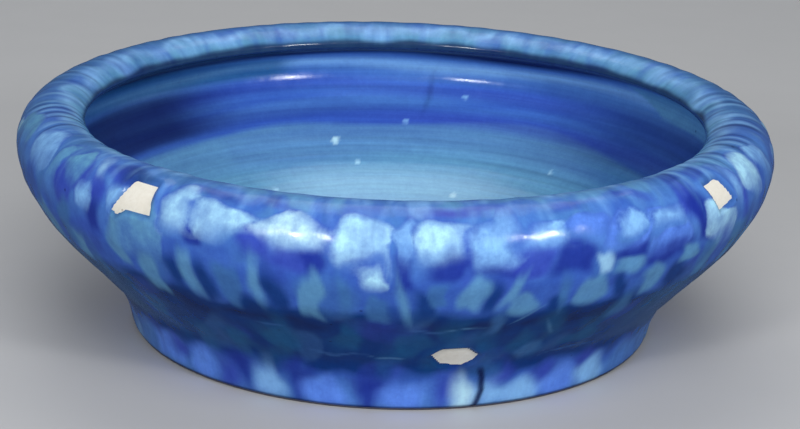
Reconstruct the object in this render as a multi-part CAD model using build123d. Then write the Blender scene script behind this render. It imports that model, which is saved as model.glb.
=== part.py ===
"""A low, wide, wheel-thrown bowl: one fired clay body with a glaze coat outside and one inside.

Millimetres, +Z up. The bowl stands on z = 0 and is turned about the Z axis. Its front is at -Y.
Its section is one smooth path of straight runs and tangent arcs, from the foot, up the flared wall,
over the rolled rim and down the inside to the floor. The clay's own section is the same path set in
by the thickness of the glaze.
"""

from build123d import *
from math import cos, radians, sin, tan
import os

# Driving dimensions
belly_radius = 127.0  # widest circle of the glazed bowl
glaze = 0.6  # thickness of both glaze coats
foot_recess = 3.6  # depth of the hollow turned under the foot
ring_width = 11.0  # flat that the bowl stands on
ring_rounding = 0.8  # turned edge outside the flat
glaze_line = 0.8  # height at which the outer coat stops above the table

# The section path. A step is (length, 0) for a straight run, or (radius, degrees) for an arc, where
# plus turns towards the bowl's axis. Lengths are shares of the belly's radius.
foot_radius = 0.697  # where the foot's wall would meet the table
foot_slope = 77.5  # degrees from level
outer_steps = [
    (0.040, 0),  # foot
    (0.255, -31.1),  # waist above the foot
    (0.1755, 0),  # flared wall
    (0.4935, 18.1),
    (0.2164, 23.1),  # belly
    (0.0985, 140.5),  # shoulder and rolled rim
    (0.008, 0),
    (0.013, 124.5),  # lip
]
inner_steps = [
    (0.078, -108.0),  # hollow under the rim
    (0.270, -17.5),
    (0.130, 0),  # sloping wall
]
floor_rounding = 0.533  # arc that brings the wall level with the floor

# Places that the outer coat leaves bare. Each has the angle from the front towards +X, the height of
# its centre, and its corners as (across, up) from that centre.
bare_spots = [
    (-38.3, 69.0, [(-3, 5.4), (6.3, 5.3), (7.3, -2.7), (1.8, -2.8), (-2.4, -2.9), (-6.4, -5.4), (-8.8, -4)]),
    (53.7, 69.0, [(0.6, 4.9), (2.3, 4.4), (6.8, -1.7), (-2.7, -3.8), (-6.6, 4.2)]),
    (11.6, 21.7, [(-7.6, 1.3), (-4.5, 4.2), (3.3, 4.2), (7.6, 0.8), (6.6, -2.0), (2.9, -4.6), (-3.8, -3.2)]),
]
spot_depth = 12.0  # how far inside the coat a cutter starts, so that it clears the rim's far side


def heading(angle):
    """A unit step in the section's plane, at an angle from level."""
    return Vector(cos(radians(angle)), sin(radians(angle)))


def follow(start, angle, steps, inset=0.0):
    """Edges that follow the steps from a point, set in towards the clay. Gives the last angle too."""
    edges = []
    point = start + heading(angle + 90) * inset
    for size, degrees in steps:
        length = size * belly_radius
        if degrees == 0:
            edge = Line(point, point + heading(angle) * length)
        else:
            radius = length - inset if degrees > 0 else length + inset
            edge = JernArc(point, heading(angle), radius, degrees)
        edges.append(edge)
        point = edge @ 1
        angle += degrees
    return edges, angle


def outside(inset=0.0, raised=0.0):
    """The path from the foot to the lip. A raised path starts that far above the table."""
    along = raised / sin(radians(foot_slope))
    start = Vector(foot_radius * belly_radius, 0) + heading(foot_slope) * along
    foot_length = outer_steps[0][0] - along / belly_radius
    return follow(start, foot_slope, [(foot_length, 0), *outer_steps[1:]], inset)


def inside(inset=0.0):
    """The path from the lip to the middle of the floor."""
    glazed_edges, angle = outside()
    level = 180 - angle - sum(degrees for _, degrees in inner_steps)
    edges, _ = follow(glazed_edges[-1] @ 1, angle, [*inner_steps, (floor_rounding, level)], inset)
    floor_start = edges[-1] @ 1
    return [*edges, Line(floor_start, Vector(0, floor_start.Y))]


def turned(edges):
    """The solid made by turning a closed outline about the bowl's axis."""
    return revolve(Plane.XZ * make_face(edges), Axis.Z, 360)


def clay_body():
    """Floor, wall, rolled rim and foot ring, thrown and turned as one piece."""
    tangent_length = ring_rounding * tan(radians(foot_slope / 2))
    rounding_height = tangent_length * sin(radians(foot_slope))
    wall, _ = outside(glaze, raised=rounding_height - glaze * cos(radians(foot_slope)))
    bowl = inside(glaze)
    ring_end = Vector((wall[0] @ 0).X - tangent_length * (1 + cos(radians(foot_slope))), 0)
    ring_start = ring_end - Vector(ring_width, 0)
    recess_edge = ring_start + Vector(-foot_recess, foot_recess)
    under_middle = Vector(0, foot_recess)
    under = [
        Line(bowl[-1] @ 1, under_middle),
        Line(under_middle, recess_edge),
        Line(recess_edge, ring_start),
        Line(ring_start, ring_end),
        JernArc(ring_end, Vector(1, 0), ring_rounding, foot_slope),
    ]
    return turned([*wall, *bowl, *under])


def bare_spot(angle, height, corners):
    """A cutter that goes radially through the outer coat."""
    outward = Vector(sin(radians(angle)), -cos(radians(angle)), 0)
    across = Vector(cos(radians(angle)), sin(radians(angle)), 0)
    coat_radius = min(foot_radius * belly_radius + height / 2, belly_radius)
    centre = outward * (coat_radius - spot_depth) + Vector(0, 0, height)
    plane = Plane(origin=centre, x_dir=across, z_dir=outward)
    return extrude(plane * make_face(Polyline(corners, close=True)), amount=2 * spot_depth)


def outer_glaze():
    """The coat on the foot, the wall and the rim, with the bare spots cut out."""
    face, _ = outside(raised=glaze_line)
    back, _ = outside(glaze, raised=glaze_line)
    coat = turned([*face, Line(face[-1] @ 1, back[-1] @ 1), *back, Line(back[0] @ 0, face[0] @ 0)])
    for angle, height, corners in bare_spots:
        coat -= bare_spot(angle, height, corners)
    return coat


def inner_glaze():
    """The coat under the rim, on the wall and on the floor."""
    face = inside()
    back = inside(glaze)
    return turned([*face, Line(face[-1] @ 1, back[-1] @ 1), *back, Line(back[0] @ 0, face[0] @ 0)])


os.makedirs("parts", exist_ok=True)
export_step(clay_body(), "parts/clay_body.step")
export_step(outer_glaze(), "parts/outer_glaze.step")
export_step(inner_glaze(), "parts/inner_glaze.step")
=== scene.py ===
"""A low, wheel-thrown pottery bowl: sponged blue glaze outside, brushed blue glaze inside, bare clay foot.

The bowl's section repeats the CAD model's path of straight runs and tangent arcs. The clay and the two
glaze coats are dense turned meshes with throwing marks, thickness and flaws in their geometry. The
glaze is painted onto the meshes' points dab by dab, and the materials add the fine grain.
Lengths are millimetres until a mesh is made.
"""

from math import cos, pi, radians, sin, tan

import bpy
import numpy as np
from mathutils import Matrix, Vector


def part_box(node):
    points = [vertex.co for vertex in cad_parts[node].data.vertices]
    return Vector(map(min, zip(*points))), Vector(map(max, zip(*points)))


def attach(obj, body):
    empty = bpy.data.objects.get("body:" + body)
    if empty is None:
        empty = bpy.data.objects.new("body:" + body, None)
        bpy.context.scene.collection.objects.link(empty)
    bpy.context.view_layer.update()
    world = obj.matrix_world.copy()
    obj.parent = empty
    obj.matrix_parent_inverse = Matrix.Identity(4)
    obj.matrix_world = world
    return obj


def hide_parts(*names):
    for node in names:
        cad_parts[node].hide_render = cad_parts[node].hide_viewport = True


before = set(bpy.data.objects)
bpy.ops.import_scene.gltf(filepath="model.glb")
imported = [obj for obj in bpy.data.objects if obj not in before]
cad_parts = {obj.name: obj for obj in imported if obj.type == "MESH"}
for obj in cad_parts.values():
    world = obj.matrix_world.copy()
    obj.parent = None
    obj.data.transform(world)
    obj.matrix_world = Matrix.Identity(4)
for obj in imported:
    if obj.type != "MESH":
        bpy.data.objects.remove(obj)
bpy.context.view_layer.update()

MM = 0.001
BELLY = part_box("outer_glaze")[1][0] / MM  # widest radius of the glazed bowl

# The section's path, as in the CAD model: (length, 0) for a straight run, (radius, degrees) for an arc,
# in shares of the belly's radius
FOOT_RADIUS = 0.697
FOOT_SLOPE = 77.5
OUTER_STEPS = [
    (0.040, 0),
    (0.255, -31.1),
    (0.1755, 0),
    (0.4935, 18.1),
    (0.2164, 23.1),
    (0.0985, 140.5),
    (0.008, 0),
    (0.013, 124.5),
]
INNER_STEPS = [(0.078, -108.0), (0.270, -17.5), (0.130, 0), (0.533, -47.1)]
GLAZE = 0.6
COAT_OVERLAP = 0.3  # how deep a coat's hidden back lies in the clay
BARE_DEPTH = 0.15  # how far below the clay's surface the coat sinks at a bare spot
BARE_BEAD = 0.22  # how high the coat's edge stands around a bare spot
# The hidden back skips rows, up to these degrees of turn and millimetres. A hollow bend needs shorter
# chords, or they would come out through the coat's face.
BACK_TURNS = (-8, 22)
BACK_LENGTH = 15
GLAZE_LINE = 0.8
FOOT_RECESS = 3.6
RING_WIDTH = 11.0
RING_ROUNDING = 0.8

# Columns are closer together between these two angles, where the glaze's front has its large marks
FRONT_EDGE = 75.0
FRONT_COLUMNS = 380
BACK_COLUMNS = 280
INNER_AROUND = 620
CLAY_AROUND = 440
ROW_SPACING = 1.1
FINE_ROW_SPACING = 0.78

# Places without glaze, as in the CAD model: (angle, height, corners as (across, up))
BARE_SPOTS = [
    (-38.3, 69.0, [(-3, 5.4), (6.3, 5.3), (7.3, -2.7), (1.8, -2.8), (-2.4, -2.9), (-6.4, -5.4), (-8.8, -4)]),
    (53.7, 69.0, [(0.6, 4.9), (2.3, 4.4), (6.8, -1.7), (-2.7, -3.8), (-6.6, 4.2)]),
    (11.6, 21.7, [(-7.6, 1.3), (-4.5, 4.2), (3.3, 4.2), (7.6, 0.8), (6.6, -2.0), (2.9, -4.6), (-3.8, -3.2)]),
]

# Glaze colours, as display values
COLOURS = {
    "ink": (0.03, 0.07, 0.27),
    "navy": (0.05, 0.15, 0.38),
    "marine": (0.03, 0.21, 0.49),
    "deep_teal": (0.10, 0.35, 0.55),
    "indigo": (0.10, 0.18, 0.58),
    "violet": (0.20, 0.28, 0.70),
    "cobalt": (0.22, 0.38, 0.74),
    "royal": (0.25, 0.43, 0.77),
    "periwinkle": (0.36, 0.54, 0.92),
    "mid": (0.30, 0.49, 0.79),
    "slate": (0.25, 0.45, 0.68),
    "steel": (0.34, 0.54, 0.74),
    "teal": (0.38, 0.61, 0.77),
    "sky": (0.51, 0.72, 0.93),
    "cyan": (0.65, 0.85, 0.96),
    "pale": (0.74, 0.91, 0.97),
}


def linear(colour):
    """Display colour values as scene-linear ones."""
    values = np.asarray(colour, float)
    return np.where(values <= 0.04045, values / 12.92, ((values + 0.055) / 1.055) ** 2.4)


def smooth_step(value, low, high):
    t = np.clip((value - low) / (high - low), 0, 1)
    return t * t * (3 - 2 * t)


# ---------------------------------------------------------------- the bowl's section


class Section:
    """Points along a path of the bowl's surface, from a start in a direction."""

    def __init__(self, start, angle, steps, fine_from=99):
        points, angles, lengths = [start], [angle], [0.0]
        for place, (share, turn) in enumerate(steps):
            spacing = ROW_SPACING if place < fine_from else FINE_ROW_SPACING
            size = share * BELLY
            length = size if turn == 0 else size * abs(radians(turn))
            count = max(2, round(length / spacing))
            half = turn / count / 2
            chord = length / count if turn == 0 else 2 * size * sin(abs(radians(half)))
            for _ in range(count):
                angle += half
                radius, height = points[-1]
                points.append((radius + chord * cos(radians(angle)), height + chord * sin(radians(angle))))
                angle += half
                angles.append(angle)
                lengths.append(lengths[-1] + length / count)
        self.points = np.array(points)
        self.angles = np.array(angles)
        self.along = np.array(lengths)
        out = np.radians(self.angles)
        self.normals = np.stack([np.sin(out), -np.cos(out)], 1)

    def sunk(self, depth):
        """The same points, moved into the clay."""
        return self.points - self.normals * depth


raised = GLAZE_LINE / sin(radians(FOOT_SLOPE))
foot_start = (FOOT_RADIUS * BELLY + GLAZE_LINE / tan(radians(FOOT_SLOPE)), GLAZE_LINE)
foot_run = (OUTER_STEPS[0][0] - raised / BELLY, 0)
outer = Section(foot_start, FOOT_SLOPE, [foot_run, *OUTER_STEPS[1:]], fine_from=3)
outer.along += raised
inner = Section(tuple(outer.points[-1]), outer.angles[-1], INNER_STEPS)


def extend_floor(section):
    """Adds the level floor's rows, up to a last small ring beside the middle."""
    count = round(section.points[-1][0] / 1.3)
    steps = np.linspace(0, section.points[-1][0] - 0.8, count)[1:]
    radius, height = section.points[-1]
    rows = np.stack([radius - steps, np.full(len(steps), height)], 1)
    section.points = np.vstack([section.points, rows])
    section.along = np.concatenate([section.along, section.along[-1] + steps])
    section.angles = np.concatenate([section.angles, np.full(len(steps), 180.0)])
    section.normals = np.vstack([section.normals, np.tile([0.0, 1.0], (len(steps), 1))])


extend_floor(inner)


def even_columns(count):
    """Angles from the front towards +X, evenly spaced."""
    return np.arange(count) * 360.0 / count - 180


def front_columns():
    """Angles that are closer together in front."""
    front = np.linspace(-FRONT_EDGE, FRONT_EDGE, FRONT_COLUMNS, endpoint=False)
    back = np.linspace(FRONT_EDGE, 360 - FRONT_EDGE, BACK_COLUMNS, endpoint=False)
    return np.sort((np.concatenate([front, back]) + 180) % 360 - 180)


class Grid:
    """A section's rows by columns at some angles around the axis."""

    def __init__(self, section, columns):
        self.degrees = columns[None, :]
        self.turn = np.radians(self.degrees)
        self.along = section.along[:, None]
        self.radius = section.points[:, :1]
        self.height = section.points[:, 1:]
        self.shape = (len(section.along), len(columns))

    def across(self, degrees):
        """Millimetres around the bowl from an angle."""
        difference = (self.degrees - degrees + 180) % 360 - 180
        return np.radians(difference) * self.radius


def ripples(grid, seed, waves, around, along):
    """Smooth seamless noise of about unit height: its waves around the bowl and per mm along it."""
    draw = np.random.default_rng(seed)
    total = np.zeros(grid.shape)
    for _ in range(waves):
        turns = draw.integers(around[0], around[1] + 1) * draw.choice([-1, 1])
        rate = draw.uniform(*along) * draw.choice([-1, 1])
        total += np.cos(turns * grid.turn + rate * grid.along + draw.uniform(0, 2 * pi))
    return total / np.sqrt(waves / 2)


def wobble(turn, radius, height):
    """The thrown wall's own unevenness, which the clay and both coats share."""
    hand = 0.16 * np.sin(2 * turn + 0.7) + 0.10 * np.sin(3 * turn + 2.1 + height / 40)
    rings = 0.07 * np.sin(height * 0.62 + 0.35 * np.sin(turn))
    base = smooth_step(height, 3.0, 16.0)
    return (hand + rings) * base * smooth_step(radius, 20.0, 60.0)


def polygon_distance(x, y, corners):
    """Signed distance from a polygon, positive inside."""
    corners = np.asarray(corners, float)
    inside = np.zeros(x.shape, bool)
    nearest = np.full(x.shape, 1e9)
    for (x0, y0), (x1, y1) in zip(corners, np.roll(corners, -1, axis=0)):
        edge_x, edge_y = x1 - x0, y1 - y0
        share = np.clip(((x - x0) * edge_x + (y - y0) * edge_y) / (edge_x**2 + edge_y**2), 0, 1)
        nearest = np.minimum(nearest, np.hypot(x - x0 - share * edge_x, y - y0 - share * edge_y))
        crosses = (y0 > y) != (y1 > y)
        side = x < edge_x * (y - y0) / np.where(edge_y == 0, 1e-9, edge_y) + x0
        inside ^= crosses & side
    return np.where(inside, nearest, -nearest)


def bare_distance(grid):
    """Signed distance from the nearest bare spot, positive inside it."""
    best = np.full(grid.shape, -1e9)
    for degrees, height, corners in BARE_SPOTS:
        x = np.broadcast_to(grid.across(degrees), grid.shape)
        y = np.broadcast_to(grid.height - height, grid.shape)
        best = np.maximum(best, polygon_distance(x, y, corners))
    return best


# ---------------------------------------------------------------- glaze painting


class Paint:
    """Colour and thickness painted onto a grid, dab by dab.

    Soft paint goes straight into the colour. The crisp dabs are kept apart, as their own colour and
    cover, and the distance from the nearest one's edge, so that the material can draw sharp outlines.
    """

    FAR = -2.5  # edge distance where no crisp dab is near
    GAP = 0.55  # how much of a dab's edge the next dab's outline takes
    DAB_THICKNESS = 0.10

    def __init__(self, grid, seed):
        self.grid = grid
        self.draw = np.random.default_rng(seed)
        self.colour = np.zeros((*grid.shape, 3))
        self.thick = np.zeros(grid.shape)
        self.dab_colour = np.zeros((*grid.shape, 3)) + linear(COLOURS["sky"])
        self.cover = np.zeros(grid.shape)
        self.edge = np.full(grid.shape, self.FAR)
        self.bend_x = 0.9 * ripples(grid, seed + 1, 24, (8, 40), (0.05, 0.35))
        self.bend_y = 0.9 * ripples(grid, seed + 2, 24, (8, 40), (0.05, 0.35))

    def bands(self, stops):
        """Fills the grid with colours by distance along the section."""
        places = [place for place, _ in stops]
        values = np.array([linear(COLOURS[name]) for _, name in stops])
        along = np.broadcast_to(self.grid.along, self.grid.shape) + 1.6 * self.bend_y
        for channel in range(3):
            self.colour[..., channel] = np.interp(along, places, values[:, channel])

    def blend(self, name, mask):
        self.colour += (linear(COLOURS[name]) - self.colour) * mask[..., None]

    def dab(
        self,
        degrees,
        along,
        width,
        height,
        name,
        lean=0.0,
        soft=1.6,
        strength=1.0,
        square=2.6,
        crisp=False,
    ):
        """One sponge dab: half width and height in mm, and a lean in mm across per mm along."""
        grid = self.grid
        reach = 1.5 * height + soft + 3
        rows = np.flatnonzero(np.abs(grid.along[:, 0] - along) < reach)
        if not len(rows):
            return
        across = grid.across(degrees)[rows]
        limit = 1.5 * width + soft + 3 + abs(lean) * reach
        columns = np.flatnonzero((np.abs(across) < limit).any(axis=0))
        here = np.ix_(rows, columns)
        bend = min(1, width / 4)
        y = grid.along[rows] - along + bend * self.bend_y[here]
        x = across[:, columns] + bend * self.bend_x[here] - lean * y
        turn = np.arctan2(y / height, x / width)
        phases = self.draw.uniform(0, 2 * pi, 4)
        uneven = sum(0.06 * np.cos((k + 2) * turn + phase) for k, phase in enumerate(phases))
        size = (np.abs(x / width) ** square + np.abs(y / height) ** square) ** (1 / square)
        inside = (1 - size / (1 + uneven)) * min(width, height)
        paint = linear(COLOURS[name])
        if not crisp:
            mask = strength * smooth_step(inside, -soft / 2, soft / 2)
            self.colour[here] += (paint - self.colour[here]) * mask[..., None]
            return
        # a dab covers well at its top and shoulders and runs out below, and darker glaze shows between
        # it and the dabs that it overlaps
        fade = strength * (0.05 + 0.95 * smooth_step(y / height, -1.0, 0.25))
        near = smooth_step(inside, -0.9, 0.0)
        self.dab_colour[here] += (paint - self.dab_colour[here]) * near[..., None]
        self.cover[here] += (fade - self.cover[here]) * near
        left = np.minimum(self.edge[here], -inside - self.GAP)
        self.edge[here] = np.maximum(left, np.maximum(inside, self.FAR))
        body = self.DAB_THICKNESS * fade
        self.thick[here] += (body - self.thick[here]) * smooth_step(inside, -0.6, 0.9)

    def row(self, along, width, height, spacing, names, skip=(), jitter=0.25, **how):
        """Dabs all round at one level, except between the angles in skip."""
        count = max(3, round(360 / spacing))
        for k in range(count):
            degrees = (k + self.draw.uniform(-jitter, jitter)) * 360 / count - 180
            place = along + self.draw.uniform(-0.35, 0.35) * height
            size = self.draw.uniform(0.75, 1.25, 2)
            name = names[self.draw.integers(len(names))]
            lean = self.draw.uniform(-0.35, 0.35)
            if any(low < degrees < high for low, high in skip):
                continue
            self.dab(degrees, place, width * size[0], height * size[1], name, lean, **how)

    def marks(self, rows, **how):
        """The dabs of a list, each with its own place, size, colour and lean."""
        for mark in rows:
            self.dab(*mark, **how)


# The sponge marks that show from the front: (angle, distance up the section, half width, half height,
# colour, lean). These are the darker glaze under and between the dabs.
BLOTCHES = [
    (-66, 73, 6, 7, "cobalt", 0.2),
    (-54, 79, 6, 6, "violet", 0.1),
    (-50, 84, 4, 4, "violet", 0.0),
    (-46.5, 74, 3.2, 6, "indigo", 0.0),
    (-46, 82, 3.5, 4, "violet", 0.0),
    (-43, 90, 6, 2.5, "violet", 0.0),
    (-33.5, 85, 1.6, 5, "cobalt", 0.0),
    (-28, 77, 4, 4, "indigo", 0.0),
    (-30, 71, 7, 3, "cobalt", 0.0),
    (-19, 76, 5, 4.5, "violet", 0.0),
    (-24, 73, 5, 3, "cobalt", 0.0),
    (-13, 73, 8, 4, "violet", 0.0),
    (-9.8, 72.5, 4, 4.5, "indigo", 0.0),
    (-17, 88.5, 9, 1.6, "cobalt", 0.0),
    (1.6, 70.5, 3.2, 5.5, "indigo", -0.1),
    (7.5, 73, 5.5, 4.5, "indigo", 0.0),
    (10.8, 79, 1.5, 5, "indigo", 0.0),
    (7, 90, 8, 2.2, "violet", 0.0),
    (15, 70.5, 7, 2.6, "indigo", 0.0),
    (19, 73.5, 8, 4.2, "violet", 0.0),
    (25.5, 73, 6.5, 4.8, "indigo", 0.0),
    (34.5, 73, 6, 4.0, "indigo", 0.0),
    (34, 86, 7, 2, "cobalt", 0.0),
    (41.5, 70.0, 8.5, 3.4, "indigo", 0.25),
    (46.3, 86, 4, 9, "violet", -0.1),
    (48.5, 78, 4.2, 7, "indigo", -0.3),
    (60, 80, 1.6, 9, "violet", -0.4),
    (68, 78, 5, 7, "cobalt", -0.3),
    (-32, 61, 3, 7, "marine", 0.0),
    (-27, 59, 2.6, 8, "marine", 0.0),
    (-16.5, 59, 3.2, 9, "marine", 0.0),
    (4.5, 57, 3.6, 7, "marine", 0.0),
    (14, 60, 2.4, 6, "marine", 0.0),
    (23, 62, 4, 4, "cobalt", 0.0),
    (24, 56, 4, 4, "marine", 0.0),
    (34.5, 59, 3, 6, "marine", -0.2),
    (46, 58, 4, 6, "marine", -0.3),
]
# Streaks and patches drawn across the rim
RIM_DABS = [
    (-40, 91, 7, 1.8, "navy", 0.0),
    (-33, 94, 6, 3.6, "slate", 0.0),
    (-25.5, 90.5, 7, 2.2, "indigo", 0.2),
    (-21, 96, 2.6, 4.5, "teal", -0.3),
    (-17.5, 92, 2.2, 3.0, "indigo", 0.0),
    (-13.5, 93, 4.4, 5.0, "teal", -0.2),
    (-8, 94.5, 2.2, 5.0, "teal", -0.2),
    (-4, 90, 5.5, 2.4, "cobalt", 0.0),
    (3.2, 93.5, 2.4, 6.5, "sky", -0.2),
    (8, 96, 3.5, 3.0, "teal", 0.0),
    (13, 92.5, 7, 2.0, "violet", 0.0),
    (19, 96.5, 7, 3.0, "teal", 0.2),
    (25, 91, 6, 2.2, "violet", 0.0),
    (31, 95, 5, 3.5, "teal", 0.3),
    (36, 91, 6, 2.4, "violet", 0.2),
    (39, 97, 4, 4.0, "teal", 0.3),
    (46, 95, 4, 4.0, "indigo", 0.3),
    (52, 93, 6, 3.0, "violet", 0.3),
]
# Fine pale lines on the lower wall
SCRATCHES = [
    (6, 43.5, 5, 0.45, "slate", 0.0),
    (11, 44.5, 4, 0.4, "teal", 0.0),
    (-9, 26, 8, 0.5, "slate", 0.0),
    (0, 25, 4, 0.45, "teal", 0.0),
    (26, 41, 0.5, 4, "teal", -0.5),
    (20.5, 51, 0.5, 4, "teal", 0.9),
    (34, 22, 8, 0.5, "slate", 0.0),
    (-20, 41, 6, 0.45, "slate", 0.0),
]
# The big light dabs on the shoulder
LIGHT_DABS = [
    (-76, 86, 8, 6, "teal", 0.0),
    (-64, 86, 7, 7, "sky", 0.1),
    (-57, 86, 3, 7, "teal", 0.2),
    (-52.5, 87, 4, 5.5, "teal", 0.1),
    (-48.5, 79, 3.4, 4, "sky", 0.1),
    (-46.8, 90, 2.4, 5, "cyan", -0.2),
    (-42, 82.5, 4, 5.5, "sky", 0.2),
    (-38, 73.5, 9, 8, "teal", 0.0),
    (-30, 83.5, 7.5, 5.5, "cyan", 0.0),
    (-22.5, 83.0, 9.5, 4.8, "cyan", 0.0),
    (-13, 81.5, 11, 4.8, "pale", 0.0),
    (-4, 79.5, 7.5, 7.5, "cyan", -0.15),
    (-2.6, 69, 3.4, 4.2, "cyan", -0.2),
    (2.2, 81, 4.2, 6.0, "sky", 0.0),
    (6.4, 81.3, 7.4, 5.4, "cyan", -0.1),
    (14, 79.5, 7, 8.5, "sky", 0.1),
    (22, 81.0, 9.5, 4.2, "sky", 0.0),
    (27.5, 83.0, 5.5, 4.0, "periwinkle", 0.0),
    (33, 79.5, 6.6, 5.0, "periwinkle", 0.0),
    (34.2, 82.5, 4.4, 2.4, "sky", 0.0),
    (41, 77.5, 7.2, 6.6, "periwinkle", -0.1),
    (41.2, 82.0, 6.6, 3.4, "sky", 0.1),
    (53.8, 73.5, 8, 6.5, "cyan", -0.5),
    (58, 84, 3.2, 7, "sky", -0.3),
    (64, 85, 6.5, 7, "cyan", -0.3),
    (71, 86, 6, 6, "sky", -0.3),
]
LIGHT_LOWER = 1.2  # the light dabs are laid lower, wider and taller than listed, so that they meet
LIGHT_WIDER = 1.22
LIGHT_TALLER = 1.3
# Longer, softer dabs on the wall below the shoulder
LOW_DABS = [
    (-55, 66, 4, 9, "slate", 0.2),
    (-42, 66, 3.6, 8, "teal", 0.1),
    (-37, 57, 3.6, 9, "teal", 0.0),
    (-29.5, 62, 2.8, 9, "teal", -0.1),
    (-23, 60, 4.5, 9, "slate", 0.0),
    (-18.9, 63, 1.9, 8, "teal", 0.0),
    (-11, 59, 4.6, 9.5, "teal", 0.0),
    (-6.5, 61, 1.8, 7, "slate", 0.0),
    (-2, 55, 4, 6, "slate", 0.0),
    (1.7, 59, 1.2, 8, "teal", -0.2),
    (6.5, 62, 4.0, 5, "slate", 0.0),
    (11.6, 62, 3.2, 6, "teal", 0.1),
    (16.9, 63, 1.8, 6.5, "teal", 0.3),
    (18.8, 57, 3.6, 5, "teal", -0.2),
    (25, 60, 1.8, 7, "slate", -0.2),
    (29.5, 60, 4.4, 7, "teal", -0.2),
    (30.4, 70.5, 2.8, 3.6, "cyan", -0.3),
    (35, 67.5, 5.5, 3.2, "teal", -0.2),
    (40.5, 60, 3.6, 7, "teal", -0.2),
    (46.8, 66.5, 4.5, 4, "teal", -0.5),
    (53, 60, 6, 8, "slate", -0.4),
    (62, 62, 7, 8, "slate", -0.4),
]
# Dim touches on the shaded lower wall
FAINT_DABS = [
    (-18, 32, 5, 8, "deep_teal", 0.0),
    (-7, 36, 4, 7, "deep_teal", 0.0),
    (4, 34, 5, 8, "deep_teal", 0.0),
    (-27, 28, 3.6, 6, "deep_teal", 0.0),
    (16, 48, 2.4, 6, "slate", 0.1),
    (22, 33, 2.6, 8, "deep_teal", 0.1),
    (25, 27, 3, 5, "slate", 0.0),
    (38, 47, 3, 6, "slate", -0.2),
    (35, 30, 7, 4, "deep_teal", 0.0),
]
# Short soft streaks on the foot
FOOT_DABS = [
    (-62, 7, 9, 6, "mid", 0.3),
    (-52, 7, 8, 6, "periwinkle", 0.3),
    (-41, 6, 7, 7, "periwinkle", 0.2),
    (-48, 10, 4, 4, "violet", 0.0),
    (-30.5, 11, 4, 7, "indigo", 0.0),
    (-34, 5, 3.5, 6, "violet", 0.0),
    (-24.5, 6, 4.6, 8, "sky", 0.1),
    (-17.5, 8, 3.5, 8, "indigo", 0.1),
    (-12.5, 4.5, 6.5, 7, "periwinkle", 0.0),
    (-3.5, 6, 4.6, 8, "indigo", 0.0),
    (2.5, 5.5, 6.5, 6, "periwinkle", 0.0),
    (11.0, 8, 2.6, 7, "violet", 0.0),
    (15.0, 5.5, 3.2, 7, "pale", -0.15),
    (21, 4, 4.5, 7, "sky", 0.1),
    (23, 13, 3, 4, "violet", 0.0),
    (28, 3.5, 7, 6, "sky", 0.1),
    (32, 11, 3.5, 4.5, "violet", 0.0),
    (37, 6, 7, 6, "periwinkle", 0.1),
    (46, 5, 7, 7, "sky", -0.1),
    (43, 13, 4, 3.5, "violet", 0.0),
    (60, 6, 12, 6, "mid", -0.2),
]
# Angles where the lists above stand in for the rows of chance dabs
FRONT = [(-80, 78)]
MIDDLE = [(-50, 50)]
FOOT_FRONT = [(-66, 72)]
RUN = [(17.1, 19.0), (18.2, 13.0), (18.7, 7.0), (17.6, 0.0)]  # (angle, distance up) of the dark run
RUN_HALF_WIDTH = 1.0
RUN_THICKNESS = 0.5


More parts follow.
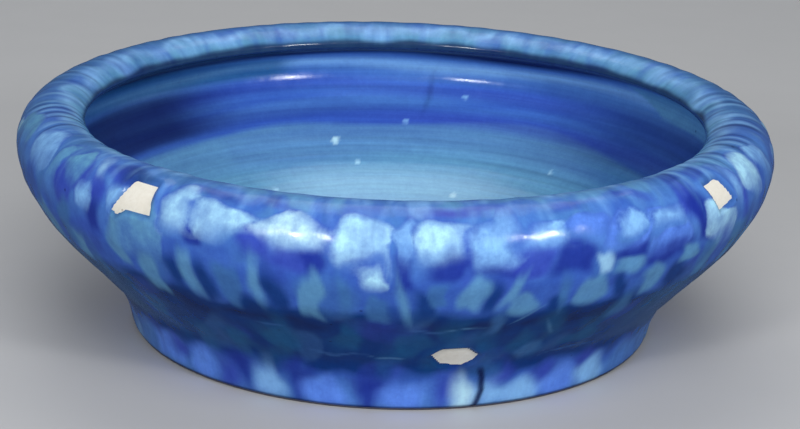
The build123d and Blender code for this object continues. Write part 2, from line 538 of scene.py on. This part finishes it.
def paint_outside(grid):
    """The sponged coat, from the foot to the lip."""
    paint = Paint(grid, 11)
    paint.bands(
        [
            (0, "mid"),
            (7, "mid"),
            (12, "cobalt"),
            # the dark marine and navy from 17 to 51 mm up are partly the glaze's own dark blue and partly
            # painted shade on the wall that faces down under the belly
            (17, "marine"),
            (39, "marine"),
            (46, "navy"),
            (51, "marine"),
            (56, "cobalt"),
            (68, "cobalt"),
            (78, "mid"),
            (88, "mid"),
            (96, "mid"),
            # the sky at 101 mm is partly the rim's lighter glaze and partly painted highlight along the top
            # of the rim
            (101, "sky"),
            (106, "teal"),
        ]
    )
    behind = smooth_step(np.abs(grid.degrees), 70, 110)
    rim_edge_shade = smooth_step(grid.along, 83, 88) * (1 - smooth_step(grid.along, 95, 99))
    paint.blend("violet", 0.4 * smooth_step(ripples(grid, 21, 30, (4, 26), (0.02, 0.25)), 0.5, 1.6))
    paint.blend("slate", 0.35 * smooth_step(ripples(grid, 22, 30, (6, 34), (0.02, 0.2)), 0.5, 1.5))

    # shaded lower wall: long soft touches of teal over dark blue
    for level in (26, 36, 45):
        paint.row(level, 3.6, 8, 9, ["deep_teal", "marine", "deep_teal"], soft=5, strength=0.45)
    paint.marks(FAINT_DABS, soft=3, strength=0.6)
    paint.marks(SCRATCHES, soft=0.7, strength=0.45)
    side_wall = smooth_step(np.abs(grid.degrees), 30, 60) * smooth_step(grid.along, 16, 22)
    paint.blend("slate", 0.4 * side_wall * (1 - smooth_step(grid.along, 46, 58)))

    # middle wall: long dabs, with dark ones between
    paint.row(60, 3, 8, 9, ["marine", "cobalt"], skip=MIDDLE, soft=3, strength=0.7)
    paint.row(59, 3.4, 8, 6, ["teal", "slate", "teal"], skip=MIDDLE, soft=2.6, strength=0.75)
    paint.row(49, 2.6, 7, 8, ["slate", "deep_teal"], skip=MIDDLE, soft=3, strength=0.6)
    paint.row(72, 6, 4.5, 9, ["violet", "indigo", "violet"], skip=FRONT, soft=4, strength=0.85)
    paint.marks(BLOTCHES, soft=3.6, strength=0.9)
    paint.marks(LOW_DABS, soft=2.6, strength=0.75)

    # rim: streaks drawn across it
    for level in (94, 102):
        paint.row(level, 1.0, 7.5, 3.2, ["sky", "teal", "sky"], jitter=0.5, soft=1.8, strength=0.3)
    for level in (94, 102):
        paint.row(level, 1.0, 7.5, 4.5, ["cobalt", "slate"], jitter=0.5, soft=1.8, strength=0.35)
    paint.row(96, 7, 4, 17, ["cobalt", "slate", "teal"], skip=MIDDLE, soft=5, strength=0.6)
    paint.marks(RIM_DABS, soft=2.4, strength=0.6)
    # painted shade: slate darkens the outer edge of the rim at the back, which faces away from the front
    # lights
    paint.blend("slate", 0.75 * rim_edge_shade * behind)
    side = np.exp(-(((np.abs(grid.degrees) - 78) / 34) ** 2))
    streak = ripples(grid, 31, 40, (60, 150), (0.0, 0.10))
    on_rim = smooth_step(grid.along, 84, 92) * (1 - smooth_step(grid.along, 104, 109))
    paint.blend("sky", 0.6 * side * on_rim * smooth_step(streak, 0.5, 1.5))
    paint.blend("navy", 0.6 * side * on_rim * smooth_step(-streak, 0.7, 1.6))

    # shoulder: big light dabs, nearly touching
    light = {"strength": 0.95, "square": 2.3, "crisp": True}
    paint.row(80.5, 7, 5.2, 7.5, ["sky", "cyan", "cyan", "sky"], skip=FRONT, **light)
    for degrees, along, width, height, name, lean in LIGHT_DABS:
        size = (LIGHT_WIDER * width, LIGHT_TALLER * height)
        paint.dab(degrees, along - LIGHT_LOWER, *size, name, lean, **light)

    # foot: short soft streaks
    paint.row(5, 6, 6, 13, ["periwinkle", "sky", "mid"], skip=FOOT_FRONT, soft=5, strength=0.8)
    paint.row(8, 3.5, 7, 17, ["violet", "indigo"], skip=FOOT_FRONT, soft=4, strength=0.8)
    paint.marks(FOOT_DABS, soft=6.5, strength=0.9, square=2.0)
    paint.blend("ink", 0.6 * (1 - smooth_step(grid.along, 0.9, 2.1)))

    # painted shade: the outer coat's last few mm, where the rim turns under into the bowl, are darkened to
    # ink
    lip = smooth_step(grid.along + 0.3 * paint.bend_y, 105.8, 108.2)
    paint.blend("ink", 0.85 * lip)
    paint.cover *= 1 - lip
    run = run_mask(grid)
    paint.blend("ink", 0.92 * run)
    return paint, RUN_THICKNESS * run + paint.thick


def run_mask(grid):
    """One run of thick dark glaze that crept down to the foot."""
    places = [along for _, along in reversed(RUN)]
    turns = [degrees for degrees, _ in reversed(RUN)]
    centre = np.interp(grid.along[:, 0], places, turns)[:, None]
    difference = np.radians(grid.degrees - centre) * grid.radius
    taper = smooth_step(grid.along, -0.5, 0.5) * (1 - smooth_step(grid.along, 16.0, 20.0))
    return smooth_step(-np.abs(difference), -RUN_HALF_WIDTH - 0.7, -RUN_HALF_WIDTH + 0.7) * taper


# Small pale specks in the inside glaze: (angle, distance down the section, radius, colour)
PALE_SPECKS = [
    (-166.7, 44, 1.5, "pale"),
    (-171.1, 54, 0.9, "cyan"),
    (178.1, 36, 0.9, "sky"),
    (141.7, 50, 0.8, "cyan"),
    (163.6, 68, 1.2, "pale"),
    (166.1, 24, 0.9, "sky"),
    (-147.5, 64, 1.0, "cyan"),
    (120.0, 90, 1.0, "cyan"),
    (-60.0, 70, 1.1, "pale"),
    (20.0, 85, 1.0, "cyan"),
]


# Soft-edged patches inside: (colour, strength, from angle, to angle, from distance, to distance, how soft
# its long sides are in mm, and its ends in degrees)
INNER_PATCHES = [
    ("deep_teal", 0.7, -158, -98, 8.5, 16.5, 1.2, 3),
    ("indigo", 0.5, 178, 250, 29, 35.5, 2.5, 20),
    ("indigo", 0.4, 196, 232, 19, 23, 2.0, 14),
    ("violet", 0.6, 110, 186, 31, 37, 2.5, 16),
    ("violet", 0.5, 136, 172, 20, 25, 2.0, 14),
    ("ink", 0.8, -140, -96, 17, 36, 3.0, 12),
    ("navy", 0.55, 92, 138, 18, 42, 4.0, 12),
    ("deep_teal", 0.5, 92, 132, 40, 60, 4.0, 12),
    ("teal", 0.35, -140, -80, 38, 60, 1.6, 3),
    ("cyan", 0.45, 150, 210, 58, 78, 6.0, 14),
]
# A teal crescent laid over the painted shadow under the rim, as (angle, distance) corners
CRESCENT = [(88, 6), (131, 7.5), (122, 16.5), (88, 19)]


def paint_inside(grid):
    """The coat brushed on while the bowl turned: level bands, with painted shadow under the rim and painted
    light just below it.
    """
    paint = Paint(grid, 51)
    paint.bend_y = 1.1 * ripples(grid, 53, 16, (1, 7), (0.0, 0.12))
    paint.bands(
        [
            # painted shadow: ink under the rim's overhang
            (0, "ink"),
            (6.5, "ink"),
            # painted light: the lighter band from 9 to 15 mm, where the hollow under the rim catches the
            # most light
            (9, "mid"),
            (12, "sky"),
            (15, "mid"),
            (18, "royal"),
            (20.5, "cobalt"),
            (25, "royal"),
            (28, "cobalt"),
            (31, "royal"),
            (36, "cobalt"),
            (38, "steel"),
            (48, "steel"),
            (56, "teal"),
            (74, "teal"),
            (90, "mid"),
            (100, "teal"),
            (112, "slate"),
            (124, "mid"),
            (134, "slate"),
            (148, "teal"),
        ]
    )
    streak = ripples(grid, 61, 46, (0, 4), (0.5, 2.6))
    paint.colour *= np.exp(0.055 * streak)[..., None]
    broad = ripples(grid, 62, 16, (0, 3), (0.12, 0.4))
    paint.blend("violet", 0.22 * smooth_step(broad, 0.4, 1.6))
    paint.blend("teal", 0.22 * smooth_step(-broad, 0.4, 1.6))

    turns = np.broadcast_to((grid.degrees + 180) % 360 - 180, grid.shape)
    along = np.broadcast_to(grid.along, grid.shape)
    paint.blend("teal", 0.9 * smooth_step(polygon_distance(turns, along, CRESCENT), -0.4, 0.6))
    for name, strength, *patch in INNER_PATCHES:
        paint.blend(name, strength * level_patch(grid, *patch))
    paint.dab(173.6, 23, 0.9, 6.5, "ink", lean=0.15, soft=1.8, strength=0.34)
    # small pale specks dabbed onto the inside glaze
    for degrees, place, radius, name in PALE_SPECKS:
        paint.dab(degrees, place, radius, radius, name, soft=0.8, strength=0.85)

    relief = 0.05 * np.sin(grid.along * 0.9 + 1.5 * np.sin(grid.turn)) + 0.03 * streak
    return paint, relief


def level_patch(grid, low, high, top, bottom, soft, fade):
    """A soft-edged patch between two angles and two distances along the section."""
    middle, half = (low + high) / 2, (high - low) / 2
    off = np.abs((grid.degrees - middle + 180) % 360 - 180)
    ends = 1 - smooth_step(off, half - fade, half + fade)
    sides = smooth_step(grid.along, top - soft, top + soft)
    sides = sides * (1 - smooth_step(grid.along, bottom - soft, bottom + soft))
    return ends * sides


# ---------------------------------------------------------------- turned meshes


def turned_rings(points, normals, relief, turn):
    """Ring points in space, rows by columns by 3, from section points pushed out by a relief."""
    radius = points[:, :1] + normals[:, :1] * relief
    height = points[:, 1:] + normals[:, 1:] * relief
    return np.stack([radius * np.sin(turn), -radius * np.cos(turn), height + 0 * turn], -1)


def lathe_mesh(name, rings, closed):
    """A mesh of rings that go up outside. A closed one joins its last ring to its first, and an open
    one gets a middle point under its first ring and one in its last."""
    rows, around, _ = rings.shape
    points = rings.reshape(-1, 3) * MM
    index = np.arange(rows * around).reshape(rows, around)
    after = np.roll(index, -1, axis=1)
    last = rows if closed else rows - 1
    upper = np.roll(index, -1, axis=0)[:last]
    upper_after = np.roll(after, -1, axis=0)[:last]
    quads = np.stack([index[:last], after[:last], upper_after, upper], -1).reshape(-1, 4)
    faces = [tuple(face) for face in quads.tolist()]
    if not closed:
        middles = rings[[0, -1]].mean(axis=1) * MM
        points = np.vstack([points, middles])
        first, final = rows * around, rows * around + 1
        for here, beside in zip(index[0], after[0]):
            faces.append((first, int(beside), int(here)))
        for here, beside in zip(index[-1], after[-1]):
            faces.append((final, int(here), int(beside)))
    mesh = bpy.data.meshes.new(name)
    mesh.from_pydata(points.tolist(), [], faces)
    mesh.validate()
    mesh.shade_smooth()
    piece = bpy.data.objects.new(name, mesh)
    bpy.context.scene.collection.objects.link(piece)
    return piece


def add_layer(piece, name, kind, rows_values, first_row=0, rest=0.0):
    """A point attribute for some rows of the rings. Every other point gets the rest value."""
    mesh = piece.data
    size = 4 if kind == "FLOAT_COLOR" else 3
    around = rows_values.shape[1]
    values = np.ones((len(mesh.vertices), size), np.float32)
    values[:, :3] = rest
    painted = rows_values.reshape(-1, 3)
    start = first_row * around
    values[start : start + len(painted), :3] = painted
    layer = mesh.attributes.new(name, kind, "POINT")
    layer.data.foreach_set("color" if size == 4 else "vector", values.ravel())


def brush_rows(grid):
    """A seamless coordinate for streaks: the turn as a circle, and the distance along the section."""
    around = (np.sin(grid.turn), -np.cos(grid.turn))
    return np.stack(np.broadcast_arrays(*around, grid.along / 100), -1)


def hidden_back(section, shared, turn):
    """The coat's back, fewer rows that lie in the clay, in reverse order."""
    last = len(section.along) - 1
    rows = [0]
    for row in range(1, last + 1):
        turned = section.angles[row] - section.angles[rows[-1]]
        bends = not BACK_TURNS[0] <= turned <= BACK_TURNS[1]
        if bends or section.along[row] - section.along[rows[-1]] > BACK_LENGTH or row == last:
            rows.append(row)
    rows.reverse()
    sunk = section.sunk(GLAZE + COAT_OVERLAP)[rows]
    return turned_rings(sunk, section.normals[rows], shared[rows], turn)


def outer_coat():
    """The sponged coat, with its bare spots sunk below the clay's surface."""
    grid = Grid(outer, front_columns())
    paint, relief = paint_outside(grid)
    bare = bare_distance(grid)
    relief = relief + 0.05 * ripples(grid, 71, 30, (30, 90), (0.05, 0.5))
    relief += BARE_BEAD * np.exp(-(((bare + 1.4) / 1.1) ** 2))
    sunk = smooth_step(bare, -0.8, 0.3)
    relief = relief * (1 - sunk) - (GLAZE + BARE_DEPTH) * sunk
    shared = wobble(grid.turn, grid.radius, grid.height)
    end = 1 - smooth_step(grid.along, outer.along[-1] - 5, outer.along[-1])
    start = smooth_step(grid.along, grid.along[0] - 0.1, grid.along[0] + 1.6)
    relief = relief * end * start - 0.35 * (1 - start)
    front = turned_rings(outer.points, outer.normals, shared + relief, grid.turn)
    back = hidden_back(outer, shared, grid.turn)
    piece = lathe_mesh("bowl_outer_glaze", np.concatenate([front, back]), closed=True)
    add_layer(piece, "glaze", "FLOAT_COLOR", paint.colour, rest=linear(COLOURS["navy"]))
    add_layer(piece, "dab", "FLOAT_COLOR", paint.dab_colour, rest=linear(COLOURS["navy"]))
    add_layer(piece, "mark", "FLOAT_VECTOR", np.stack([paint.edge, paint.cover, bare.clip(-9, 9)], -1))
    add_layer(piece, "brush", "FLOAT_VECTOR", brush_rows(grid))
    return piece


def inner_coat():
    """The brushed coat, from the lip to the middle of the floor."""
    grid = Grid(inner, even_columns(INNER_AROUND))
    paint, relief = paint_inside(grid)
    shared = wobble(grid.turn, grid.radius, grid.height)
    relief = relief * smooth_step(grid.along, 0, 5) * smooth_step(grid.radius, 1.0, 8.0)
    front = turned_rings(inner.points, inner.normals, shared + relief, grid.turn)
    back = hidden_back(inner, shared, grid.turn)
    piece = lathe_mesh("bowl_inner_glaze", np.concatenate([back, front]), closed=False)
    add_layer(piece, "glaze", "FLOAT_COLOR", paint.colour, len(back), linear(COLOURS["slate"]))
    add_layer(piece, "brush", "FLOAT_VECTOR", brush_rows(grid), len(back))
    return piece


def clay():
    """The thrown body: the turned hollow under the foot, foot ring, outside, rim and inside."""
    wall_radius = FOOT_RADIUS * BELLY - GLAZE / sin(radians(FOOT_SLOPE))
    ring_outer = wall_radius - RING_ROUNDING * tan(radians(FOOT_SLOPE / 2))
    ring_inner = ring_outer - RING_WIDTH
    hollow_radii = np.linspace(0.8, ring_inner - FOOT_RECESS, 70)[:-1]
    hollow = [(r, FOOT_RECESS + 0.22 * sin(r * 1.7) + 0.12 * sin(r * 0.6)) for r in hollow_radii]
    cone = [(ring_inner - depth, depth) for depth in np.linspace(FOOT_RECESS, 0.4, 6)]
    flat = [(r, 0.0) for r in np.linspace(ring_inner, ring_outer, 12)]
    turns = np.radians([25, 50, FOOT_SLOPE])
    rounding = [(ring_outer + RING_ROUNDING * sin(a), RING_ROUNDING * (1 - cos(a))) for a in turns]
    under = np.array(hollow + cone + flat + rounding)
    points = np.vstack([under, outer.sunk(GLAZE)[1::2], inner.sunk(GLAZE)[1::2]])
    normals = np.vstack([np.zeros((len(under), 2)), outer.normals[1::2], inner.normals[1::2]])
    turn = np.radians(even_columns(CLAY_AROUND))[None, :]
    shared = wobble(turn, points[:, :1], points[:, 1:])
    return lathe_mesh("bowl_clay", turned_rings(points, normals, shared, turn), closed=False)


# ---------------------------------------------------------------- materials


class Nodes:
    """Short calls for building one material's node tree."""

    def __init__(self, name):
        self.material = bpy.data.materials.new(name)
        self.material.use_nodes = True
        self.tree = self.material.node_tree
        self.shader = self.tree.nodes["Principled BSDF"]

    def link(self, source, target):
        self.tree.links.new(source, target)

    def add(self, kind, **inputs):
        node = self.tree.nodes.new(kind)
        for key, value in inputs.items():
            socket = node.inputs[key.replace("_", " ")]
            if isinstance(value, bpy.types.NodeSocket):
                self.link(value, socket)
            else:
                socket.default_value = value
        return node

    def noise(self, vector, scale, detail=3.0, roughness=0.55):
        settings = {"Vector": vector, "Scale": scale, "Detail": detail, "Roughness": roughness}
        return self.add("ShaderNodeTexNoise", **settings).outputs[0]

    def stretch(self, vector, scale):
        node = self.add("ShaderNodeMapping", Vector=vector)
        node.inputs["Scale"].default_value = scale
        return node.outputs[0]

    def remap(self, value, low, high, to_low, to_high):
        node = self.add("ShaderNodeMapRange", Value=value)
        for key, number in zip(("From Min", "From Max", "To Min", "To Max"), (low, high, to_low, to_high)):
            node.inputs[key].default_value = number
        return node.outputs[0]

    def mix(self, factor, a, b, mode="MIX"):
        node = self.tree.nodes.new("ShaderNodeMix")
        node.data_type = "RGBA"
        node.blend_type = mode
        for socket, value in ((node.inputs[0], factor), (node.inputs[6], a), (node.inputs[7], b)):
            if isinstance(value, bpy.types.NodeSocket):
                self.link(value, socket)
            else:
                socket.default_value = value
        return node.outputs[2]

    def math(self, operation, a, b=0.0):
        node = self.tree.nodes.new("ShaderNodeMath")
        node.operation = operation
        for socket, value in zip(node.inputs, (a, b)):
            if isinstance(value, bpy.types.NodeSocket):
                self.link(value, socket)
            else:
                socket.default_value = value
        return node.outputs[0]

    def attribute(self, name):
        """The outputs of a layer that the mesh's points carry."""
        node = self.tree.nodes.new("ShaderNodeAttribute")
        node.attribute_name = name
        return node.outputs

    def spots(self, vector, scale, inner, outer, share):
        """Small round spots in some of a cellular pattern's cells: 1 inside, and 0 outside."""
        cells = self.add("ShaderNodeTexVoronoi", Vector=vector, Scale=scale)
        dot = self.remap(cells.outputs["Distance"], inner, outer, 1.0, 0.0)
        draw = self.add("ShaderNodeSeparateColor", Color=cells.outputs["Color"]).outputs[0]
        return self.math("MULTIPLY", dot, self.math("GREATER_THAN", draw, 1 - share))

    def bump(self, height, strength, distance):
        node = self.add("ShaderNodeBump", Height=height, Strength=strength, Distance=distance)
        self.link(node.outputs[0], self.shader.inputs["Normal"])


def rgba(name):
    return (*linear(COLOURS[name]), 1.0)


def glaze_material(name, stretched, coarse, dabbed):
    """Satin glaze: painted colour, streaks, mottling, pinholes and orange peel."""
    n = Nodes(name)
    place = n.add("ShaderNodeTexCoord").outputs["Object"]
    mottle = n.noise(place, 230.0, 5.0, 0.6)
    fine = n.noise(place, 900.0, 3.0, 0.6)
    streak = n.noise(n.stretch(n.attribute("brush")["Vector"], stretched), 1.0, 4.0, 0.6)
    colour = n.attribute("glaze")["Color"]
    if dabbed:
        colour = dab_colour(n, colour, place, mottle, streak)
    shade = n.remap(mottle, 0.25, 0.75, 1 - coarse, 1 + coarse)
    shade = n.math("MULTIPLY", shade, n.remap(fine, 0.25, 0.75, 0.93, 1.07))
    shade = n.math("MULTIPLY", shade, n.remap(streak, 0.25, 0.75, 0.88, 1.12))
    # blue keeps more of its strength where the glaze is darker
    blue = n.math("POWER", shade, 0.6)
    tint = n.add("ShaderNodeCombineColor", Red=shade, Green=shade, Blue=blue).outputs[0]
    colour = n.mix(1.0, colour, tint, "MULTIPLY")
    hole = n.spots(place, 120.0, 0.045, 0.075, share=0.2)
    colour = n.mix(n.math("MULTIPLY", hole, 0.5), colour, rgba("ink"))
    n.link(colour, n.shader.inputs["Base Color"])
    n.link(n.remap(mottle, 0.3, 0.7, 0.15, 0.26), n.shader.inputs["Roughness"])
    n.shader.inputs["IOR"].default_value = 1.45
    peel = n.noise(place, 380.0, 3.0, 0.5)
    height = n.math("SUBTRACT", peel, n.math("MULTIPLY", hole, 0.8))
    height = n.math("ADD", height, n.math("MULTIPLY", streak, 0.4))
    n.bump(height, 0.3, 0.00016)
    return n.material


def dab_colour(n, colour, place, mottle, streak):
    """Lays the sponge dabs over the painted colour. Their outline wavers, crisp here and soft there."""
    mark = n.attribute("mark")["Vector"]
    edge, cover, bare = n.add("ShaderNodeSeparateXYZ", Vector=mark).outputs
    waver = n.remap(n.noise(place, 170.0, 4.0, 0.6), 0.3, 0.7, -0.75, 0.75)
    edge = n.math("ADD", edge, waver)
    fuzz = n.remap(n.noise(place, 55.0, 2.0, 0.5), 0.42, 0.62, 1.2, 4.2)
    shape = n.remap(n.math("DIVIDE", n.math("ADD", edge, 0.6), fuzz), 0.0, 1.0, 0.0, 1.0)
    uneven = n.remap(mottle, 0.3, 0.7, 0.70, 1.14)
    thin = n.remap(n.noise(place, 90.0, 3.0, 0.5), 0.35, 0.6, 0.76, 1.06)
    uneven = n.math("MULTIPLY", uneven, thin)
    cover = n.math("MULTIPLY", cover, uneven)
    cover = n.math("MULTIPLY", cover, n.remap(streak, 0.3, 0.7, 0.85, 1.1))
    amount = n.math("MINIMUM", n.math("MULTIPLY", shape, cover), 1.0)
    rim = n.remap(edge, -1.9, -0.5, 0.0, 1.0)
    outline = n.math("MULTIPLY", rim, n.math("MULTIPLY", cover, 0.5))
    colour = n.mix(outline, colour, rgba("violet"))
    colour = n.mix(amount, colour, n.attribute("dab")["Color"])
    return n.mix(n.remap(bare, -1.3, -0.2, 0.0, 0.35), colour, rgba("navy"))


# Clay colours, as scene-linear values
CREAM_DARK = (0.80, 0.76, 0.66, 1)
CREAM_LIGHT = (0.88, 0.86, 0.79, 1)
GROG = (0.62, 0.55, 0.43, 1)
IRON = (0.30, 0.20, 0.12, 1)
# Where the foot ring's outer edge is darkened next to the table: metres from the axis, and above the table
RING_EDGE_DARK_RADII = (0.0862, 0.0870)
RING_EDGE_DARK_HEIGHTS = (0.0006, 0.0022)


def clay_material():
    """Matte cream stoneware with grog, iron specks and turning lines."""
    n = Nodes("cream_clay")
    place = n.add("ShaderNodeTexCoord").outputs["Object"]
    grain = n.noise(place, 700.0, 5.0, 0.65)
    cloud = n.noise(place, 60.0, 4.0, 0.6)
    colour = n.mix(n.remap(cloud, 0.3, 0.7, 0.0, 1.0), CREAM_DARK, CREAM_LIGHT)
    colour = n.mix(n.remap(grain, 0.35, 0.75, 0.0, 0.3), colour, GROG)
    speck = n.spots(place, 260.0, 0.08, 0.14, share=0.14)
    colour = n.mix(n.math("MULTIPLY", speck, 0.7), colour, IRON)
    x, y, height = n.add("ShaderNodeSeparateXYZ", Vector=place).outputs
    radius = n.math("SQRT", n.math("ADD", n.math("MULTIPLY", x, x), n.math("MULTIPLY", y, y)))
    # darker towards the foot ring's outer edge, next to the table
    beside = n.remap(radius, *RING_EDGE_DARK_RADII, 0.0, 0.9)
    below = n.remap(height, *RING_EDGE_DARK_HEIGHTS, 1.0, 0.0)
    colour = n.mix(n.math("MULTIPLY", beside, below), colour, rgba("ink"))
    n.link(colour, n.shader.inputs["Base Color"])
    n.link(n.remap(grain, 0.3, 0.7, 0.62, 0.85), n.shader.inputs["Roughness"])
    n.bump(grain, 0.5, 0.0003)
    return n.material


def plain_material(name, colour, roughness):
    n = Nodes(name)
    place = n.add("ShaderNodeTexCoord").outputs["Object"]
    grain = n.noise(place, 40.0, 3.0)
    shade = n.mix(n.remap(grain, 0.3, 0.7, 0.0, 1.0), (*colour, 1), (*[c * 0.985 for c in colour], 1))
    n.link(shade, n.shader.inputs["Base Color"])
    n.shader.inputs["Roughness"].default_value = roughness
    return n.material


# ---------------------------------------------------------------- the studio


# The camera, in shares of the belly's radius. It looks down by about 18 degrees.
EYE = (0, -6.1645, 2.2492)
AIM = (0.0183, 0, 0.2849)
ROLL = 0.0317  # radians, right side down
LENS = 108.0


def camera():
    """A long lens in front of the bowl."""
    eye = Vector(EYE) * BELLY * MM
    target = Vector(AIM) * BELLY * MM
    ahead = (target - eye).normalized()
    right = ahead.cross(Vector((0, 0, 1))).normalized()
    up = right.cross(ahead)
    across = right * cos(ROLL) + up * sin(ROLL)
    upright = up * cos(ROLL) - right * sin(ROLL)
    axes = Matrix((across, upright, -ahead)).transposed().to_4x4()
    data = bpy.data.cameras.new("camera")
    data.sensor_width = 36.0
    data.lens = LENS
    data.clip_start = 0.01
    viewer = bpy.data.objects.new("camera", data)
    viewer.matrix_world = Matrix.Translation(eye) @ axes
    bpy.context.scene.collection.objects.link(viewer)
    bpy.context.scene.camera = viewer


# Square lights: (name, azimuth from the front towards +X, elevation, distance in metres, side in metres,
# watts, whether the glaze mirrors it)
LIGHTS = [
    ("key_left", -27, 22, 1.3, 0.15, 5.0, True),
    ("key_right", 42, 22, 1.3, 0.15, 5.0, True),
    ("front", 8, 42, 1.8, 1.1, 18.0, False),
    ("back", 190, 34, 1.8, 1.1, 6.0, False),
    ("top", 180, 70, 1.6, 1.2, 5.0, True),
]
SURROUND = (0.58, 0.72, 0.94, 1)
SURROUND_STRENGTH = 0.10
FLOOR_HALF = 6.0


def soft_light(name, azimuth, elevation, distance, size, power, glossy):
    """A square light aimed at the bowl."""
    target = Vector((0, 0, 0.04))
    level = cos(radians(elevation))
    way = Vector((sin(radians(azimuth)) * level, -cos(radians(azimuth)) * level, sin(radians(elevation))))
    data = bpy.data.lights.new(name, "AREA")
    data.shape = "SQUARE"
    data.size = size
    data.energy = power
    light = bpy.data.objects.new(name, data)
    light.location = target + way * distance
    light.visible_glossy = glossy
    light.rotation_euler = (-way).to_track_quat("-Z", "Y").to_euler()
    bpy.context.scene.collection.objects.link(light)


def studio():
    """A pale floor, two small softboxes in front, three broad ones and a dim bluish surround."""
    floor_mesh = bpy.data.meshes.new("floor")
    corners = [(x * FLOOR_HALF, y * FLOOR_HALF, 0) for x, y in ((-1, -1), (1, -1), (1, 1), (-1, 1))]
    floor_mesh.from_pydata(corners, [], [(0, 1, 2, 3)])
    floor = bpy.data.objects.new("floor", floor_mesh)
    floor.data.materials.append(plain_material("floor", (0.55, 0.55, 0.55), 0.7))
    floor.visible_glossy = False
    bpy.context.scene.collection.objects.link(floor)
    for light in LIGHTS:
        soft_light(*light)
    world = bpy.data.worlds.new("world")
    world.use_nodes = True
    background = world.node_tree.nodes["Background"]
    background.inputs["Color"].default_value = SURROUND
    background.inputs["Strength"].default_value = SURROUND_STRENGTH
    bpy.context.scene.world = world
    bpy.context.scene.view_settings.view_transform = "Standard"


# ---------------------------------------------------------------- assembly


camera()
studio()

outside = outer_coat()
outside.data.materials.append(glaze_material("sponged_glaze", (26.0, 26.0, 5.0), 0.12, dabbed=True))
inside = inner_coat()
inside.data.materials.append(glaze_material("brushed_glaze", (2.5, 2.5, 90.0), 0.08, dabbed=False))
body = clay()
body.data.materials.append(clay_material())

for piece, node, slot in (
    (outside, "outer_glaze", "outer_glaze"),
    (inside, "inner_glaze", "inner_glaze"),
    (body, "clay_body", "clay"),
):
    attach(piece, "root")
    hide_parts(node)
